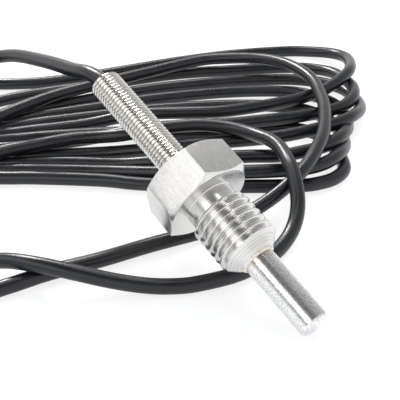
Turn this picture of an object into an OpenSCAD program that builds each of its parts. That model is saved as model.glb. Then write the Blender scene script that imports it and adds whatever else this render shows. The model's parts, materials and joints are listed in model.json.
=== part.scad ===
// Screw-in resistance temperature probe: a closed steel tube welded into a hexagon fitting,
// a close-wound bend spring behind it, and a round cable that lies in a loose hank.

/* [Hexagon fitting] */
// Width across the flats of the hexagon
hex_af = 17; // [15:0.5:22]
// Length of the hexagon along the axis
hex_len = 8; // [7:0.5:12]
// Angle of the hexagon's chamfers from its end faces
hex_chamfer_angle = 30; // [15:1:35]
// Diameter of the undercut neck behind the thread
neck_d = 10; // [9:0.1:10.5]
// Length of the undercut neck
neck_len = 2.6; // [1.5:0.1:5]
// Outer diameter of the thread
thread_d = 12; // [11.5:0.5:14]
// Pitch of the thread
thread_pitch = 1.5; // [1:0.25:2]
// Length of the thread
thread_len = 9.4; // [6:0.1:20]
// Length of the conical nose in front of the thread
nose_len = 2.4; // [1.5:0.1:4]
// Width of the nose's flat ring round the tube
nose_land = 0.5; // [0.4:0.05:1]

/* [Probe tube] */
// Outer diameter of the tube
tube_d = 6; // [5:0.1:6.2]
// Wall of the tube
tube_wall = 0.5; // [0.3:0.05:0.7]
// Length of the tube in front of the nose
stem_len = 16; // [12:0.1:150]
// Radius of the closed end's rounded edge
tip_round = 1; // [0.8:0.1:2.4]
// Length of the weld bead along the tube
weld_len = 0.5; // [0.3:0.05:1]
// Depth to which the weld bites into the tube's wall
weld_depth = 0.2; // [0.1:0.05:0.25]
// Height of the weld bead above the tube
weld_crown = 0.15; // [0.1:0.05:0.3]

/* [Bend spring] */
// Diameter of the spring wire
wire_d = 0.75; // [0.6:0.05:0.8]
// Outer diameter of the spring
spring_d = 6.4; // [6:0.05:6.6]
// Length of the spring behind the fitting
spring_len = 27; // [15:0.1:45]
// Air between two turns of the spring
turn_gap = 0.03; // [0.02:0.01:0.3]
// How far the spring's free end sags below the axis
spring_sag = 0.2; // [0:0.1:2]
// Depth of the fitting's socket for the spring
socket_depth = 5; // [3:0.1:5.5]
// Air around the spring in the socket
socket_gap = 0.05; // [0.03:0.01:0.15]

/* [Sensing element] */
// Diameter of the wire-wound ceramic element
element_d = 1.6; // [1:0.1:2]
// Length of the element
element_len = 6; // [4:0.1:8]
// Diameter of the element's lead wires
lead_wire_d = 0.3; // [0.2:0.02:0.4]
// Length of the lead wires
lead_wire_len = 7; // [4:0.1:9]
// Diameter of the crimps between lead wires and cores
splice_d = 0.7; // [0.6:0.05:0.75]
// Length of the crimps
splice_len = 4; // [3:0.1:5]
// Wall of the shrunk sleeves over the crimps
sleeve_wall = 0.15; // [0.1:0.01:0.2]
// Length of the bared cores between crimps and jacket
inner_core_len = 6; // [3:0.5:7]

/* [Cable] */
// Outer diameter of the cable
cable_d = 3.1; // [2.6:0.1:3.3]
// Diameter of one insulated core
core_d = 0.9; // [0.7:0.05:0.9]
// Length of the bared cores at the cable's free end
bare_len = 10; // [8:0.5:20]
// Length of the ferrules on the bared cores
ferrule_len = 6; // [4:0.5:8]
// Diameter of the ferrules
ferrule_d = 1.4; // [1.3:0.05:1.5]
// Length of the shrunk sleeve at the cable's free end
end_sleeve_len = 7; // [5:0.5:15]
// Width of the tie round the hank
tie_w = 4; // [2.5:0.5:8]
// Thickness of the tie
tie_t = 0.8; // [0.5:0.1:1.2]

/* [Pose] */
// Angle at which the probe leans on its tip
probe_tilt = 22.2; // [15:0.1:28]
// Turn of the hexagon about the probe's axis
hex_turn = 19.2; // [0:0.1:60]
// Turn of the hank from the probe's axis
hank_turn = 49.7; // [30:0.1:70]

/* [Hidden] */
$fn = 64;

// Small distance by which a cutter passes the face that it cuts
cut = 0.5;
// Running fit between pieces that touch inside the tube
fit = 0.02;

// The fitting, along the axis: 0 is the sealing face, positive toward the tip
hex_corner_r = hex_af / sqrt(3);
hex_chamfer_r = hex_af / 2 - 0.2;
hex_chamfer_len = (hex_corner_r - hex_chamfer_r) * tan(hex_chamfer_angle);
thread_end = neck_len + thread_len;
nose_d = tube_d + 2 * nose_land;
nose_end = thread_end + nose_len;
socket_d = spring_d + 2 * socket_gap;
socket_floor = -hex_len + socket_depth;
tip_end = nose_end + stem_len;
// ISO metric thread: depth 0.6134 of the pitch
thread_depth = 0.6134 * thread_pitch;
thread_root_r = thread_d / 2 - thread_depth;

// Inside the tube, from the closed end back
tube_in_d = tube_d - 2 * tube_wall;
tip_in_round = tip_round - tube_wall;
tip_air = 0.8;
element_end = tip_end - tube_wall - tip_air;
element_start = element_end - element_len;
lead_start = element_start - lead_wire_len;
splice_start = lead_start - splice_len;
jacket_end = splice_start - inner_core_len;
// The wires run beside the axis, just far enough apart for their sleeves
wire_gap = 0.1;
wire_offset = max(core_d, splice_d + 2 * sleeve_wall) / 2 + wire_gap / 2;
ferrule_offset = max(core_d, ferrule_d) / 2 + wire_gap / 2;
tube_start = socket_floor;
filler_cover = 3;
potting_end = jacket_end + filler_cover;
filler_start = element_start - filler_cover;

// The spring, measured back from the fitting's rear face
coil_r = (spring_d - wire_d) / 2;
coil_pitch = wire_d + turn_gap;
spring_end = -hex_len - spring_len;
coil_run = socket_floor - spring_end - wire_d;
turns = coil_run / coil_pitch;
steps_per_turn = 16;
wire_sides = 6;

// Where the probe stands: its tip touches the floor and the plan is centred on the origin
face_h = (tip_end - tip_round) * sin(probe_tilt) + (tube_d / 2 - tip_round) * cos(probe_tilt)
    + tip_round;
rear_x = spring_end * cos(probe_tilt) - (spring_d / 2 + spring_sag) * sin(probe_tilt);
front_x = (tip_end - tip_round) * cos(probe_tilt) + tip_round;
face_x = -(front_x + rear_x) / 2;

// A point given along the axis, below it and across it, in the model's frame
function on_probe(along, below, across) = [
    face_x + along * cos(probe_tilt) - below * sin(probe_tilt),
    across,
    face_h - along * sin(probe_tilt) - below * cos(probe_tilt)];
// The sagging centre line of the spring
function sag(along) = along > -hex_len ? 0
    : spring_sag * pow((-hex_len - along) / spring_len, 2);
function sag_slope(along) = along > -hex_len ? 0
    : -2 * spring_sag * (-hex_len - along) / pow(spring_len, 2);

// Cable routes, in the hank's own axes: along it, across it away from the probe's tip, up
lead_points = [[-24.5, 28.8, 28.2], [-28.5, 33.8, 27.8], [-33, 40, 26.4], [-38.5, 47.5, 24],
    [-44.5, 55, 21.2], [-50, 60.5, 18.5], [-57, 64.5, 15.3], [-66, 66, 12], [-78, 64.5, 8.8],
    [-90, 64.5, 6.6], [-99, 68, 4.6], [-104, 74, 2.6], [-103, 80.5, 1.8], [-97.5, 85, 1.6],
    [-89, 85.5, 1.6], [-79, 82, 1.6], [-70, 79.5, 1.6]];
inner_points = [[-94, 25, 1.6], [-99, 15.5, 1.6], [-102.5, 5, 1.6], [-102, -5.5, 1.6],
    [-96.5, -14.5, 1.6], [-86, -20.3, 1.6], [-73, -21.5, 1.6], [-55, -18.5, 1.6], [-38.5, -10, 1.6],
    [-30, -5, 1.6], [-21, -1, 1.6], [-11.5, 4, 1.6], [-2.5, 8.2, 1.6], [4.5, 11.6, 1.8],
    [11, 14.7, 3.8], [14.5, 18, 5], [18, 20.8, 6.4], [21, 23.8, 7.7], [24, 32, 7.9], [26.5, 39.5, 7.9],
    [28, 50.5, 7.9], [28, 58.5, 7.9], [27, 66.5, 7.9], [23.5, 74, 7.9], [18.5, 80, 7.2],
    [12, 84, 6.2], [5, 85.5, 5.4], [-2, 86, 5], [-15, 80, 4.8], [-31, 71, 4.8], [-40, 65.5, 4.8],
    [-49.5, 55.5, 4.8], [-54, 50, 4.8], [-59, 42.5, 4.8], [-63.5, 34.5, 4.8], [-68, 26, 4.4],
    [-73, 17.5, 2.4], [-77, 9, 1.6], [-77, 1, 1.6], [-72, -5, 1.6]];
front_points = [[-72, -5, 1.6], [-63, -7.5, 1.6], [-52, -4, 1.6], [-46, -1.5, 1.6], [-42, -1, 2.4],
    [-37.5, -4, 4], [-33, -6.6, 4.9], [-28.5, -7.8, 4.8], [-24, -8.4, 4], [-18, -9, 2.8],
    [-12, -9.3, 1.8], [-7, -9.3, 1.6], [-2, -8.6, 1.6], [7, -5.4, 1.6], [14, 2, 1.6],
    [17.8, 9, 2], [18.6, 12.6, 4.6], [18, 16.2, 8], [17.3, 20.6, 10.4], [15, 31, 9.6], [11, 37.5, 8.4],
    [5.5, 41.8, 7.9], [-2, 43.5, 7.9], [-11, 43.5, 7], [-19.5, 42.5, 5.8], [-25, 43, 5],
    [-31.5, 42.5, 4.8], [-39, 39.5, 4.8], [-46, 36.5, 4.8], [-53, 31, 4.8], [-57, 27.6, 4.8],
    [-60, 24.2, 3.8], [-61.8, 21, 2.4], [-62.6, 17.6, 1.6], [-63, 14, 1.6]];
end_from = front_points[len(front_points) - 2];
end_at = front_points[len(front_points) - 1];
// Plan of the hank: two turns deep on the right, one turn deep elsewhere
hank_plan = [[-84, 20], [-70, 28], [-46, 28.2], [-24, 26], [-2, 18.5], [9, 16.5], [20, 18.5],
    [30, 25], [34, 38], [40, 55], [41, 92], [34, 104], [22, 106.5], [0, 105], [-30, 92.5],
    [-47, 82.5], [-70, 81.5], [-70, 67], [-84, 71.5], [-100, 65], [-108.5, 47], [-104, 30]];
hank_deep_plan = [[-2, 25], [20, 25.5], [30, 29], [34, 38], [40, 55], [41, 84], [32, 84],
    [20, 72], [-2, 63]];
turn_h = cable_d + 2 * fit;
// The tie's place along the hank and its two sides
tie_x = -74;
tie_near_y = 27.5;
tie_far_y = 68.5;

function turned(p, angle) = [p.x * cos(angle) - p.y * sin(angle),
    p.x * sin(angle) + p.y * cos(angle), p.z];
// From the hank's axes to the model's frame, whose plan is shifted along the probe
function from_hank(p) = turned(p, hank_turn) + [face_x, 0, 0];

// A smooth curve through points: a Catmull-Rom spline with the given steps a span
function blend(a, b, c, d, t) = 0.5 * (2 * b + (c - a) * t
    + (2 * a - 5 * b + 4 * c - d) * t * t + (3 * b - a - 3 * c + d) * t * t * t);
function smooth(p, steps, before, after) = [
    for (i = [0:len(p) - 2]) for (j = [0:steps - 1])
        blend(i == 0 ? before : p[i - 1], p[i], p[i + 1],
            i == len(p) - 2 ? after : p[i + 2], j / steps),
    p[len(p) - 1]];
function unit(v) = v / norm(v);
function tangent(p, i) = unit(p[min(i + 1, len(p) - 1)] - p[max(i - 1, 0)]);

// Closed tube of a given radius along points; its rings keep one side level
module swept(path, radius, sides, first, last) {
    ends = len(path) - 1;
    points = [for (i = [0:ends])
        let (t = i == 0 ? unit(first) : i == ends ? unit(last) : tangent(path, i),
            side = unit(cross([0, 0, 1], t)), up = cross(t, side))
        for (k = [0:sides - 1])
            path[i] + radius * (cos((k + 0.5) * 360 / sides) * side
                + sin((k + 0.5) * 360 / sides) * up)];
    walls = [for (i = [0:ends - 1]) for (k = [0:sides - 1])
        [i * sides + k, (i + 1) * sides + k, (i + 1) * sides + (k + 1) % sides,
            i * sides + (k + 1) % sides]];
    polyhedron(points, concat([[for (k = [0:sides - 1]) k]], walls,
        [[for (k = [sides - 1:-1:0]) ends * sides + k]]));
}

// Puts what is drawn along +Z from the sealing face on the leaning probe axis
module probe_axis() {
    translate([face_x, 0, face_h])
        rotate([0, 90 + probe_tilt, 0])
            children();
}

// Plain cylinder from one distance along the axis to another
module rod(from, to, d) {
    translate([0, 0, from])
        cylinder(h = to - from, d = d);
}

// One turned piece: hexagon with both ends chamfered, undercut neck, thread and nose,
// bored through for the tube and counterbored for the spring
module threaded_fitting() {
    color([0.78, 0.77, 0.75]) probe_axis() difference() {
        union() {
            intersection() {
                translate([0, 0, -hex_len])
                    rotate([0, 0, hex_turn])
                        cylinder(h = hex_len, r = hex_corner_r, $fn = 6);
                rotate_extrude()
                    polygon([[0, -hex_len], [hex_chamfer_r, -hex_len],
                        [hex_corner_r, -hex_len + hex_chamfer_len],
                        [hex_corner_r + cut, -hex_len + hex_chamfer_len],
                        [hex_corner_r + cut, -hex_chamfer_len],
                        [hex_corner_r, -hex_chamfer_len], [hex_chamfer_r, 0], [0, 0]]);
            }
            rotate_extrude()
                polygon([[0, -cut], [neck_d / 2, -cut], [neck_d / 2, neck_len],
                    [thread_root_r, neck_len], [thread_d / 2, neck_len + thread_depth],
                    [thread_d / 2, thread_end], [nose_d / 2, nose_end], [0, nose_end]]);
        }
        rod(socket_floor, nose_end + cut, tube_d);
        rod(-hex_len - cut, socket_floor, socket_d);
    }
}

// Closed tube with a rounded end, fitted in the bore, with a groove for the weld
module probe_tube() {
    color([0.86, 0.86, 0.85]) probe_axis() rotate_extrude() difference() {
        closed_outline(tube_d / 2, tip_round, tube_start, tip_end);
        closed_outline(tube_in_d / 2, tip_in_round, tube_start - cut, tip_end - tube_wall);
        translate([tube_d / 2 - weld_depth, nose_end])
            square([weld_depth + cut, weld_len]);
    }
}

// Half section of a bar with one rounded end
module closed_outline(radius, round, from, to) {
    translate([0, from])
        square([radius, to - round - from]);
    translate([0, from])
        square([radius - round, to - from]);
    intersection() {
        translate([radius - round, to - round])
            circle(r = round);
        square([radius, to]);
    }
}

// Ring of weld metal that bites into the tube's wall and lies on the nose
module weld_bead() {
    color([0.62, 0.5, 0.36]) probe_axis() rotate_extrude()
        polygon([[tube_d / 2 - weld_depth, nose_end], [nose_d / 2 - fit, nose_end],
            [nose_d / 2 - 0.1, nose_end + weld_len * 0.35],
            [tube_d / 2 + weld_crown, nose_end + weld_len * 0.8],
            [tube_d / 2 + fit, nose_end + weld_len],
            [tube_d / 2 - weld_depth, nose_end + weld_len]]);
}

// Close-wound helix of round wire that follows the sagging centre line
module bend_spring() {
    count = ceil(turns * steps_per_turn);
    points = [for (i = [0:count])
        let (along = spring_end + wire_d / 2 + coil_run * i / count,
            angle = 360 * turns * i / count, slope = sag_slope(along),
            centre = [sag(along), 0, along], out = unit([1, 0, -slope]),
            forward = unit([slope, 0, 1]), radial = cos(angle) * out + sin(angle) * [0, 1, 0])
        for (k = [0:wire_sides - 1])
            centre + (coil_r + wire_d / 2 * cos(k * 360 / wire_sides)) * radial
                + wire_d / 2 * sin(k * 360 / wire_sides) * forward];
    walls = [for (i = [0:count - 1]) for (k = [0:wire_sides - 1])
        [i * wire_sides + k, i * wire_sides + (k + 1) % wire_sides,
            (i + 1) * wire_sides + (k + 1) % wire_sides, (i + 1) * wire_sides + k]];
    color([0.72, 0.7, 0.66]) probe_axis() polyhedron(points,
        concat([[for (k = [wire_sides - 1:-1:0]) k]], walls,
            [[for (k = [0:wire_sides - 1]) count * wire_sides + k]]));
}

// Wire-wound ceramic element at the closed end
module sensing_element() {
    color([0.93, 0.92, 0.88]) probe_axis() rod(element_start, element_end, element_d);
}

// Lead wire from the element's face to its crimp, on one side of the axis
module element_lead(side) {
    color([0.8, 0.8, 0.82]) probe_axis() translate([0, side * wire_offset, 0])
        rod(lead_start, element_start, lead_wire_d);
}

// Crimp that joins a lead wire to a core
module splice(side) {
    color([0.75, 0.72, 0.6]) probe_axis() translate([0, side * wire_offset, 0])
        rod(splice_start, lead_start, splice_d);
}

// Shrunk sleeve over a crimp
module splice_sleeve(side) {
    color([0.15, 0.15, 0.16]) probe_axis() translate([0, side * wire_offset, 0]) difference() {
        rod(splice_start, lead_start, splice_d + 2 * sleeve_wall);
        rod(splice_start - cut, lead_start + cut, splice_d);
    }
}

// Insulated core between the jacket's end and the crimp
module inner_core(side, colour) {
    color(colour) probe_axis() translate([0, side * wire_offset, 0])
        rod(jacket_end, splice_start, core_d);
}

// Powder and cement that hold the element and carry heat to it
module thermal_filler() {
    color([0.85, 0.84, 0.8]) probe_axis() difference() {
        rotate_extrude()
            closed_outline(tube_in_d / 2, tip_in_round, filler_start, tip_end - tube_wall);
        rod(element_start, element_end, element_d);
        for (side = [-1, 1])
            translate([0, side * wire_offset, 0])
                rod(filler_start - cut, element_start + fit, lead_wire_d);
    }
}

// Resin plug in the tube's open end, round the jacket and the first stretch of the cores
module potting_seal() {
    color([0.2, 0.2, 0.22]) probe_axis() difference() {
        rod(tube_start, potting_end, tube_in_d);
        rod(tube_start - cut, jacket_end, cable_d);
        for (side = [-1, 1])
            translate([0, side * wire_offset, 0])
                rod(jacket_end - fit, potting_end + cut, core_d);
    }
}

// Cable inside the spring and the potted end, along the same sagging centre line
module cable_in_spring() {
    path = [for (i = [0:6])
        let (along = spring_end + (-hex_len - spring_end) * i / 6) on_probe(along, sag(along), 0),
        on_probe(jacket_end, 0, 0)];
    color([0.1, 0.1, 0.11]) swept(path, cable_d / 2, 8, -spring_out_axis(), probe_forward());
}
function probe_forward() = [cos(probe_tilt), 0, -sin(probe_tilt)];
function spring_out_axis() = unit(on_probe(-1, -sag_slope(spring_end), 0) - on_probe(0, 0, 0));

// Cable from the spring's free end, over the hank and round into its first turn
module cable_lead() {
    out = spring_out_axis();
    points = concat([on_probe(spring_end, sag(spring_end), 0)],
        [for (p = lead_points) from_hank(p)]);
    last = turned([1, 0, 0], hank_turn);
    color([0.1, 0.1, 0.11]) swept(smooth(points, 2, points[0] - 6 * out,
        points[len(points) - 1] + 9 * last), cable_d / 2, 8, out, last);
}

// Outer shape of the hank, with a waist where the tie holds it
module cable_hank() {
    color([0.08, 0.08, 0.09]) on_hank() {
        difference() {
            union() {
                linear_extrude(turn_h)
                    polygon(hank_plan);
                linear_extrude(2 * turn_h)
                    polygon(hank_deep_plan);
            }
            translate([tie_x, 0, -cut])
                cube([tie_w, tie_far_y, turn_h + 2 * cut]);
        }
        waist();
    }
}

// What the tie goes round: one layer of cable, lifted by the tie's thickness
module waist() {
    translate([tie_x, tie_near_y + tie_t, tie_t])
        cube([tie_w, tie_far_y - tie_near_y - 2 * tie_t, turn_h]);
}

// Flat strap round the hank's waist
module cable_tie() {
    color([0.06, 0.06, 0.07]) on_hank() difference() {
        translate([tie_x, tie_near_y, 0])
            cube([tie_w, tie_far_y - tie_near_y, turn_h + 2 * tie_t]);
        translate([-cut, 0, 0]) waist();
        translate([cut, 0, 0]) waist();
    }
}

// Puts what is drawn in the hank's axes in the model's frame
module on_hank() {
    translate([face_x, 0, 0])
        rotate([0, 0, hank_turn])
            children();
}

// Turn of cable that leaves the hank, runs under the fitting and comes back over the hank
module cable_loop_inner() {
    points = [for (p = inner_points) from_hank(p)];
    color([0.1, 0.1, 0.11]) swept(points, cable_d / 2, 8, turned([-1, -2, 0], hank_turn),
        between_loops);
}

// Turn of cable that runs under the thread and over the hank, to the cable's free end
module cable_loop_front() {
    points = [for (p = front_points) from_hank(p)];
    color([0.1, 0.1, 0.11]) swept(points, cable_d / 2, 8, between_loops, end_dir());
}
between_loops = from_hank(front_points[1]) - from_hank(inner_points[len(inner_points) - 2]);
function end_dir() = unit(from_hank(end_at) - from_hank(end_from));

// Puts what is drawn along +Z on the cable's free end
module cable_end() {
    heading = atan2(end_dir().y, end_dir().x);
    translate(from_hank(end_at))
        rotate([0, 90, heading])
            children();
}

// Shrunk sleeve at the end of the jacket
module cable_end_sleeve() {
    color([0.13, 0.13, 0.14]) cable_end()
        rod(0, end_sleeve_len, cable_d);
}

// Core that sticks out of the end sleeve
module end_core(side, colour) {
    color(colour) cable_end() translate([0, side * ferrule_offset, 0])
        rod(end_sleeve_len, end_sleeve_len + bare_len - ferrule_len, core_d);
}

// Crimped ferrule on the end of a core
module ferrule(side) {
    color([0.8, 0.8, 0.78]) cable_end() translate([0, side * ferrule_offset, 0])
        rod(end_sleeve_len + bare_len - ferrule_len, end_sleeve_len + bare_len, ferrule_d);
}

threaded_fitting();
probe_tube();
weld_bead();
bend_spring();
sensing_element();
element_lead(-1);  // element_lead_1
element_lead(1);  // element_lead_2
splice(-1);  // splice_1
splice(1);  // splice_2
splice_sleeve(-1);  // splice_sleeve_1
splice_sleeve(1);  // splice_sleeve_2
inner_core(-1, [0.9, 0.9, 0.88]);  // inner_core_1
inner_core(1, [0.7, 0.08, 0.07]);  // inner_core_2
thermal_filler();
potting_seal();
cable_in_spring();
cable_lead();
cable_hank();
cable_loop_inner();
cable_loop_front();
cable_tie();
cable_end_sleeve();
end_core(-1, [0.9, 0.9, 0.88]);  // end_core_1
end_core(1, [0.7, 0.08, 0.07]);  // end_core_2
ferrule(-1);  // ferrule_1
ferrule(1);  // ferrule_2
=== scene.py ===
# %% [markdown]
# # A screw-in temperature probe on its own cable
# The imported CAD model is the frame: every piece below is made in its coordinates, in metres.
# The probe leans on its tip, so its axis and its sealing face are read from the record's mounts,
# and each turned or wound piece is drawn along a straight local axis and then put in place.

# %% Load the frame and keep the CAD box
import bpy
import bmesh
import json
import math
from mathutils import Euler, Matrix, Vector


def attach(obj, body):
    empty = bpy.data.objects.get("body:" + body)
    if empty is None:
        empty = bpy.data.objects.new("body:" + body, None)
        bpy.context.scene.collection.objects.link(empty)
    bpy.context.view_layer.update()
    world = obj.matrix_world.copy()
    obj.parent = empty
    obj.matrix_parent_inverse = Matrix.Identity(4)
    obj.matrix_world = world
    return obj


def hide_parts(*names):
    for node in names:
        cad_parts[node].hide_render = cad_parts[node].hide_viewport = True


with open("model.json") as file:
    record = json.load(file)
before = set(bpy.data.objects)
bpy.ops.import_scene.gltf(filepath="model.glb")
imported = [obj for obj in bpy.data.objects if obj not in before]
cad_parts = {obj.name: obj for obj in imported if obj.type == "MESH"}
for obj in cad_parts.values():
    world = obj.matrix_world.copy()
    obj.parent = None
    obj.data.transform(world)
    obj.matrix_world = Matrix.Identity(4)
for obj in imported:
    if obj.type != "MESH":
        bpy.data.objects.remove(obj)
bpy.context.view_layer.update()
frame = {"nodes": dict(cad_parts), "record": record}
mounts = {m["name"]: m for m in frame["record"]["mounts"]}
MM = 0.001
axis = Vector(mounts["sealing_face"]["axis"]).normalized()
face_at = Vector(mounts["sealing_face"]["pos_m"])
face_centre = Vector((face_at.x, 0, face_at.z))
print("probe leans", round(math.degrees(math.asin(-axis.z)), 1), "degrees")

# %% Sizes of the probe, in millimetres along and out from the sealing face
hex_af, hex_len, hex_turn = 17.0, 8.0, 19.2
hex_chamfer_r = hex_af / 2 - 0.2
hex_break, break_from_degrees = 0.09, 24
chamfer_slope = math.tan(math.radians(30))
neck_r, neck_len, neck_lead = 5.0, 2.6, 0.15
thread_r, thread_pitch, thread_end = 6.0, 1.5, 12.0
thread_depth = 0.6134 * thread_pitch
root_r = thread_r - thread_depth
nose_end, nose_r = 14.4, 3.5
tube_r, tube_wall, tip_end, tip_round = 3.0, 0.5, 30.4, 1.0
weld_len, weld_depth = 0.5, 0.2
wire_d, spring_r, spring_len, turn_gap, spring_sag = 0.75, 3.2, 27.0, 0.03, 0.2
socket_floor, socket_r = -3.0, 3.25
cable_r, core_r, ferrule_r = 1.55, 0.45, 0.7
end_sleeve_len, bare_len, ferrule_len = 7.0, 10.0, 6.0
spring_end = -hex_len - spring_len
print("tip", tip_end, "mm and spring end", spring_end, "mm from the sealing face")

# %% [markdown]
# ## Placing pieces on the leaning axis
# A matrix turns a shape that was drawn along +Z, in millimetres from the sealing face, onto the
# probe's axis in metres. The place then sits in the mesh and the object stays at the origin.

# %% From the probe's own axis to the frame
down = Vector((0, 1, 0)).cross(axis)
to_probe = Matrix.Translation(face_centre) @ Matrix((
    (down.x, 0, axis.x), (down.y, 1, axis.y), (down.z, 0, axis.z))).to_4x4() @ Matrix.Scale(MM, 4)


def sag(along):
    """How far the spring's centre line hangs below the axis, in millimetres."""
    return 0.0 if along > -hex_len else spring_sag * ((-hex_len - along) / spring_len) ** 2


def finish_piece(name, mesh, material, place, smooth):
    """A named object at the origin with its place in its mesh, riding on the probe. Edges
    sharper than the given degrees stay sharp."""
    mesh.transform(place)
    obj = bpy.data.objects.new(name, mesh)
    bpy.context.scene.collection.objects.link(obj)
    mesh.materials.clear()
    mesh.materials.append(material)
    mesh.shade_smooth()
    mesh.set_sharp_from_angle(angle=math.radians(smooth))
    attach(obj, "root")
    return obj


print("sag at the spring's end", sag(spring_end), "mm")


# %% Meshes of rings
def to_mesh(name, bm, merge_within=0.002):
    """The finished mesh of a bmesh: doubles merged, faces outward."""
    bmesh.ops.remove_doubles(bm, verts=bm.verts, dist=merge_within)
    bmesh.ops.recalc_face_normals(bm, faces=bm.faces)
    mesh = bpy.data.meshes.new(name)
    bm.to_mesh(mesh)
    bm.free()
    return mesh


def turned(name, rings, sides=96, closed=True):
    """A mesh from rings round Z. A ring is (radius, height), or a function of the angle in
    degrees that returns them; radius 0 makes a pole, and closed joins the last to the first."""
    bm = bmesh.new()
    loops = []
    for ring in rings:
        at = [ring(360 * k / sides) if callable(ring) else ring for k in range(sides)]
        if max(r for r, z in at) < 1e-6:
            loops.append([bm.verts.new((0, 0, at[0][1]))] * sides)
        else:
            loops.append([bm.verts.new((r * math.cos(math.tau * k / sides),
                                        r * math.sin(math.tau * k / sides), z))
                          for k, (r, z) in enumerate(at)])
    for a, b in zip(loops, loops[1:] + loops[:1] * closed):
        for k in range(sides):
            n = (k + 1) % sides
            corners = [a[k], a[n], b[n], b[k]]
            bm.faces.new([v for i, v in enumerate(corners) if v is not corners[i - 1]])
    return to_mesh(name, bm)


def arc(cx, cy, radius, start, end, steps):
    """Points on an arc in an outline, with angles in degrees."""
    return [(cx + radius * math.cos(math.radians(start + (end - start) * k / steps)),
             cy + radius * math.sin(math.radians(start + (end - start) * k / steps)))
            for k in range(steps + 1)]


# %% [markdown]
# ## Node trees as expressions
# A wrapped socket takes +, -, * and /, so a pattern reads like the formula it is. Every other
# node comes from one method that sets the node's own settings first and then its inputs. The
# same two classes serve the materials, the sky and the Geometry Nodes trees.

# %% A node tree with readable maths
class Value:
    """A socket that adds its own Math nodes when it is used in an expression."""

    def __init__(self, nodes, socket):
        self.nodes, self.socket = nodes, socket

    def output(self, number):
        """Another output of the same node."""
        return Value(self.nodes, self.socket.node.outputs[number])

    def __add__(self, other):
        return self.nodes.maths("ADD", self, other)

    def __sub__(self, other):
        return self.nodes.maths("SUBTRACT", self, other)

    def __rsub__(self, other):
        return self.nodes.maths("SUBTRACT", other, self)

    def __mul__(self, other):
        return self.nodes.maths("MULTIPLY", self, other)

    def __rmul__(self, other):
        return self.nodes.maths("MULTIPLY", other, self)

    def __truediv__(self, other):
        return self.nodes.maths("DIVIDE", self, other)

    def at_least(self, low):
        return self.nodes.maths("MAXIMUM", self, low)

    def at_most(self, high):
        return self.nodes.maths("MINIMUM", self, high)

    def part(self):
        return self.nodes.maths("FRACT", self)

    def unsigned(self):
        return self.nodes.maths("ABSOLUTE", self)


class Nodes:
    """A node tree, the one method that adds a node to it, and short names for common ones."""

    def __init__(self, tree):
        self.tree = tree

    def node(self, kind, settings=None, values=None, out=0):
        made = self.tree.nodes.new(kind)
        for key, value in (settings or {}).items():
            setattr(made, key, value)
        for key, value in (values or {}).items():
            if isinstance(value, Value):
                self.tree.links.new(value.socket, made.inputs[key])
            else:
                made.inputs[key].default_value = value
        return Value(self, made.outputs[out])

    def maths(self, operation, *values):
        return self.node("ShaderNodeMath", {"operation": operation}, dict(enumerate(values)))

    def vector(self, operation, *values, out=0):
        return self.node("ShaderNodeVectorMath", {"operation": operation},
                         dict(enumerate(values)), out)

    def dot(self, a, b):
        return self.vector("DOT_PRODUCT", a, b, out=1)

    def ramp(self, factor, *stops):
        made = self.node("ShaderNodeValToRGB", {}, {0: factor})
        elements = made.socket.node.color_ramp.elements
        while len(elements) < len(stops):
            elements.new(1.0)
        for element, (at, colour) in zip(elements, stops):
            element.position = at
            element.color = (*colour, 1)
        return made

    def spread(self, value, low, high, to_low=0.0, to_high=1.0):
        return self.node("ShaderNodeMapRange", {}, {0: value, 1: low, 2: high, 3: to_low,
                                                    4: to_high})

    def mix(self, factor, a, b):
        return self.node("ShaderNodeMix", {"data_type": "RGBA"}, {0: factor, 6: a, 7: b}, out=2)


# %% A material and its patterns
class Paint(Nodes):
    """A material with one Principled shader and the patterns that feed it."""

    def __init__(self, name, **constants):
        self.material = bpy.data.materials.new(name)
        self.material.use_nodes = True
        super().__init__(self.material.node_tree)
        self.shader = self.tree.nodes["Principled BSDF"]
        for key, value in constants.items():
            self.shader.inputs[key.replace("_", " ")].default_value = value

    def place(self):
        return self.node("ShaderNodeTexCoord", out="Object")

    def noise(self, where, scale, detail, roughness):
        return self.node("ShaderNodeTexNoise", {}, {"Vector": where, "Scale": scale,
                                                    "Detail": detail, "Roughness": roughness})

    def bump(self, height, distance, strength):
        return self.node("ShaderNodeBump", {}, {"Height": height, "Distance": distance,
                                                "Strength": strength})

    def wire(self, **links):
        for key, value in links.items():
            self.tree.links.new(value.socket, self.shader.inputs[key.replace("_", " ")])
        return self.material


def speckled(name, noise, tones, rough, relief, **constants):
    """A material whose colour, roughness and relief follow one noise, given as its scale,
    detail and roughness. The tones are ramp stops; the relief is a depth and a strength."""
    paint = Paint(name, **constants)
    marks = paint.noise(paint.place(), *noise)
    return paint.wire(Base_Color=paint.ramp(marks, *tones),
                      Roughness=paint.spread(marks, 0.3, 0.7, *rough),
                      Normal=paint.bump(marks, *relief))


# %% Where a point lies on the probe
def from_face(paint):
    """The point from the centre of the sealing face, in metres."""
    return paint.vector("SUBTRACT", paint.place(), face_centre)


def along_axis(paint, arm):
    """How far the point lies along the probe's axis, in millimetres."""
    return paint.dot(arm, axis) * 1000.0


def drawn_out(paint, arm, along, share):
    """The point with a share of its way along the axis taken away, so that whatever pattern
    it is given is drawn out along the probe. The whole share leaves the arm out to the side."""
    spine = paint.node("ShaderNodeVectorMath", {"operation": "SCALE"},
                       {0: tuple(axis), 3: along * (share * MM)})
    return paint.vector("SUBTRACT", arm, spine)


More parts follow.
